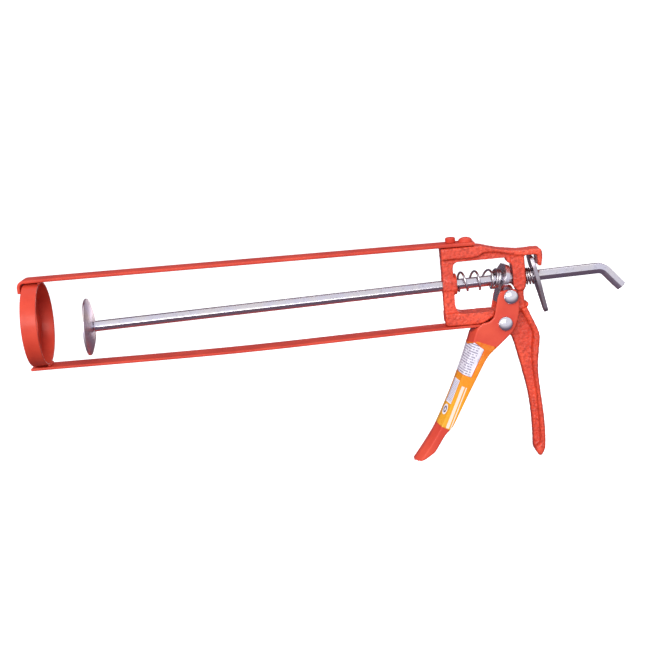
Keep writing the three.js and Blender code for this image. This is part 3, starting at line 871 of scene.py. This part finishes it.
STEPS_PER_TURN, WIRE_SIDES = 44, 14


def slope(degrees):
    return math.tan(math.radians(degrees))


def spring(name, node, start, end, height, radius, wire, pitch, phase, shut, lean, swing=0.0):
    """Round wire wound about the rod, from X start to end, of the given wire radius.

    Shut counts the closed turns at the front and the rear. Lean and swing are the slopes, up and
    across, of the face on which its rear end lies.
    """
    bm = bmesh.new()
    closed_first, closed_last = shut
    # A closed turn takes the wire's width along the rod, and a little air.
    flat = wire * 2.1
    open_length = end - start - (closed_first + closed_last) * flat
    open_turns = round(open_length / pitch * 12) / 12
    pitch = open_length / open_turns
    turns = closed_first + open_turns + closed_last

    def spot(turn):
        opened = min(max(turn - closed_first, 0), open_turns)
        along = opened * pitch + (turn - opened) * flat
        a = 2 * math.pi * (phase + turn)
        up, across = radius * math.cos(a), -radius * math.sin(a)
        tilt = (lean * up - swing * across) * along / (end - start)
        return Vector((start + along + tilt, across, height + up))

    steps = int(turns * STEPS_PER_TURN)
    nudge = 0.004
    stations = []
    for i in range(steps + 1):
        turn = turns * i / steps
        here = spot(turn)
        way = (spot(min(turn + nudge, turns)) - spot(max(turn - nudge, 0))).normalized()
        out = Vector((0, here.y, here.z - height)).normalized()
        side = way.cross(out).normalized()
        out = side.cross(way)
        # The cut ends are slightly rounded off.
        to_end = min(i, steps - i)
        r = wire * (0.72, 0.92, 1)[min(to_end, 2)]
        stations.append([
            here + out * r * math.cos(a) + side * r * math.sin(a)
            for a in np.linspace(0, 2 * math.pi, WIRE_SIDES, endpoint=False)
        ])
    sweep(bm, stations)
    return settle(name, bm, "frame", SPRING_WIRE, [node], angle=50)


# Each spring stands on a boss of the casting.
BOSS_END_X, REAR_BOSS_END_X = 261.9, 305.1
DRIVE_Z, RELEASE_Z = 2.0, 1.7
drive = spring(
    "drive_coil", "drive_spring", start=BOSS_END_X + 1, end=288.0, height=DRIVE_Z, radius=5.9,
    wire=0.7, pitch=8.3, phase=-0.67, shut=(0.5, 2), lean=slope(16), swing=slope(9),
)
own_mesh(drive)
release = spring(
    "release_coil", "release_spring", start=REAR_BOSS_END_X + 0.8, end=309.95, height=RELEASE_Z,
    radius=5.0, wire=0.5, pitch=1.9, phase=0.0, shut=(0.8, 1), lean=slope(-13),
)
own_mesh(release)


# ---------- trigger ----------

trigger = settle(
    "pressed_trigger", melted("trigger", voxel=0.4, rounds=4),
    "trigger", TRIGGER_RED, ["trigger"], angle=75, in_mm=False,
)

PIVOT, DRIVE_PIN = (289.9, -25.6), (294.3, -8.9)
HEAD_SEAT_Y, HEAD_R, HEAD_H, HEAD_EDGE_H, PIN_R = 10.45, 4.7, 2.7, 0.45, 2.6
ROLLER_R, ROLLER_BORE, ROLLER_HALF = 3.8, 2.9, 8.2


def across(x, z):
    """Turns a lathe's axis across the gun at X, Z."""
    return Matrix.Translation((x, 0, z)) @ Matrix.Rotation(math.pi / 2, 4, "Z")


def domed_rivet(name, spot, body, node):
    """A pin across the gun with a domed head at each end."""
    half = [(PIN_R, HEAD_SEAT_Y), (HEAD_R - 0.2, HEAD_SEAT_Y), (HEAD_R, HEAD_SEAT_Y + 0.25)]
    for a in np.radians(np.linspace(0, 90, 13))[1:-1]:
        up = HEAD_EDGE_H + (HEAD_H - HEAD_EDGE_H) * math.sin(a)
        half.append((HEAD_R * math.cos(a), HEAD_SEAT_Y + up))
    half.append((0, HEAD_SEAT_Y + HEAD_H))
    other = [(r, -y) for r, y in half[::-1]]
    bm = bmesh.new()
    lathe(bm, other + half, across(*spot), segments=72)
    settle(name, bm, body, ZINC_DOME, [node], angle=50)


domed_rivet("pivot_rivet_polished", PIVOT, "frame", "trigger_pivot_rivet")
domed_rivet("drive_rivet_polished", DRIVE_PIN, "trigger", "drive_rivet")


def drive_roller():
    tube = [
        (ROLLER_BORE, 0),
        (ROLLER_BORE, -ROLLER_HALF),
        (ROLLER_R, -ROLLER_HALF),
        (ROLLER_R, ROLLER_HALF),
        (ROLLER_BORE, ROLLER_HALF),
        (ROLLER_BORE, 0),
    ]
    bm = bmesh.new()
    lathe(bm, softened(tube, radius=0.4), across(*DRIVE_PIN), segments=64)
    settle("drive_roller_tube", bm, "trigger", ZINC_PRESSED, ["drive_roller"], angle=40)


drive_roller()


# ---------- films on the grip ----------

GRID = (1.5, 0.5, 1.5)  # millimetres along X, Y and Z
# The CAD film's inner face lies nearer to the trigger's rounded skin than this, its outer face farther.
INNER_FACE_REACH = 0.42


def film(name, node, material, gap, thick):
    """The CAD film cut into a fine grid and laid on the trigger's rounded skin."""
    skin = BVHTree.FromObject(trigger, bpy.context.evaluated_depsgraph_get())
    bm = bmesh.new()
    bm.from_mesh(frame["nodes"][node].data)
    low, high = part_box(node)
    for way, step, start, end in zip(Matrix.Identity(3), GRID, low, high):
        count = int((end - start) / (step * MM))
        for i in range(1, count + 1):
            cut = low + way * (i * step * MM)
            everything = bm.verts[:] + bm.edges[:] + bm.faces[:]
            bmesh.ops.bisect_plane(bm, geom=everything, plane_co=cut, plane_no=way, dist=1e-7)
    bmesh.ops.remove_doubles(bm, verts=bm.verts, dist=1e-6)
    for vert in bm.verts:
        spot, _, _, reach = skin.find_nearest(vert.co)
        outward = (vert.co - spot).normalized()
        lift = gap if reach < INNER_FACE_REACH * MM else gap + thick
        vert.co = spot + outward * lift * MM
    settle(name, bm, "trigger", material, [node], angle=75, in_mm=False)


film("orange_wrap_label", "grip_label", LABEL, gap=0.04, thick=0.12)
film("white_paper_sticker", "info_sticker", PAPER, gap=0.06, thick=0.14)


# ---------- stage ----------

FLOOR_Z = -0.16  # metres, as all the stage's sizes
BOWL_R, BOWL_CURVE, BOWL_TOP = 3.2, 1.2, 3.0


def stage():
    """A plain pale floor that curves up into a round wall."""
    flat_r = BOWL_R - BOWL_CURVE
    line = [(0, FLOOR_Z), (1.0, FLOOR_Z), (flat_r, FLOOR_Z)]
    for a in np.radians(np.linspace(0, 90, 17))[1:]:
        line.append((flat_r + BOWL_CURVE * math.sin(a), FLOOR_Z + BOWL_CURVE * (1 - math.cos(a))))
    line.append((BOWL_R, BOWL_TOP))
    bm = bmesh.new()
    lathe(bm, line, Matrix.Rotation(-math.pi / 2, 4, "Y"))
    made, t = new_material("pale_floor")
    t.surface({
        "Base Color": color(0.9, 0.9, 0.9),
        "Roughness": 0.9,
        "Specular IOR Level": 0.1,
        "Emission Color": color(1, 1, 1),
        "Emission Strength": 0.55,
    })
    floor = smooth_object("studio_floor", bm, made)
    # The floor is neither mirrored in the plated parts nor lights the paint, which would wash
    # both out.
    floor.visible_glossy = False
    floor.visible_diffuse = False


# The surroundings' tones run from low behind the gun to high in front of it. These two say how
# much of the way each direction makes up.
UPWARD, BACKWARD = 0.75, -0.65
SURROUNDINGS = (
    (0.0, color(0.10, 0.07, 0.10)),
    (0.40, color(0.17, 0.125, 0.17)),
    (0.55, color(0.42, 0.38, 0.45)),
    (0.72, color(0.86, 0.85, 0.92)),
    (1.0, color(0.84, 0.84, 0.9)),
)


def world():
    made = bpy.data.worlds.new("studio")
    made.use_nodes = True
    SCENE.world = made
    t = Tree(made.node_tree)
    way = t.add("SeparateXYZ", {0: t.add("TexCoord").outputs["Generated"]})
    upward = t.math("MULTIPLY", way.outputs[2], UPWARD)
    backward = t.math("MULTIPLY", way.outputs[1], BACKWARD)
    ramp = t.add("ValToRGB", {0: t.remap(t.math("ADD", upward, backward), -1, 1)})
    fill_ramp(ramp.color_ramp.elements, SURROUNDINGS)
    background = t.add("Background", {"Color": ramp.outputs[0], "Strength": 1.0})
    out = t.add("OutputWorld")
    t.tree.links.new(background.outputs[0], out.inputs[0])


stage()
world()
area_light("key_softbox", (-0.55, -1.6, 0.7), (1.4, 0.8), 22)
area_light("top_softbox", (0.3, 0.5, 1.6), (1.2, 0.6), 6)
area_light("left_strip", (-1.7, -0.1, 0.15), (0.5, 1.0), 3.5)
area_light("back_panel", (0.45, 1.5, 0.0), (0.9, 0.28), 2.0, (0.97, 0.88, 0.92))
SCENE.view_settings.view_transform = "Standard"
